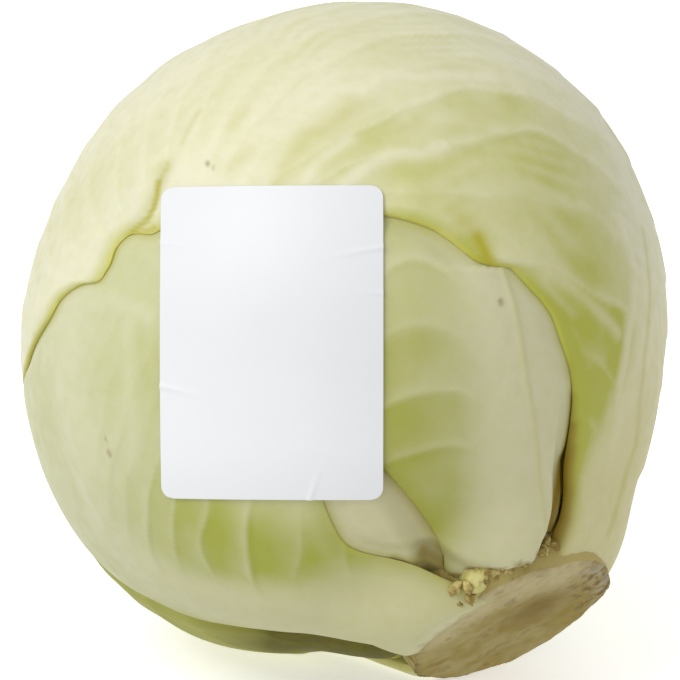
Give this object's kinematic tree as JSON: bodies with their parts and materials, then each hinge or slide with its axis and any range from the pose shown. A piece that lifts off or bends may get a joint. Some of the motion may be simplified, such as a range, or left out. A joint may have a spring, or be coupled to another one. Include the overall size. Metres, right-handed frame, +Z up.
{
  "type": "cabbage head",
  "caption": "Round white cabbage head lying on its side, wrapped in ribbed pale green leaves, with a cut stem and a blank paper label.",
  "frame": {"origin": "on the ground, under the middle of the head's outline", "axes": "+Z up; -Y towards the side with the label and the stem; +X to the right of someone facing the label"},
  "size_m": [0.1456, 0.1522, 0.1469],
  "materials": {
    "outer_leaf": "waxy pale green leaf",
    "inner_leaf": "waxy cream leaf",
    "cut_stem": "rough dried cut",
    "label_paper": "satin coated paper"
  },
  "bodies": {
    "root": {"heart": "inner_leaf", "stem": "cut_stem", "leaf_crown": "outer_leaf", "leaf_left": "outer_leaf", "leaf_rest": "outer_leaf", "leaf_right_back": "outer_leaf", "leaf_under": "outer_leaf", "leaf_middle": "outer_leaf", "leaf_gap": "inner_leaf", "label": "label_paper"}
  },
  "joints": []
}
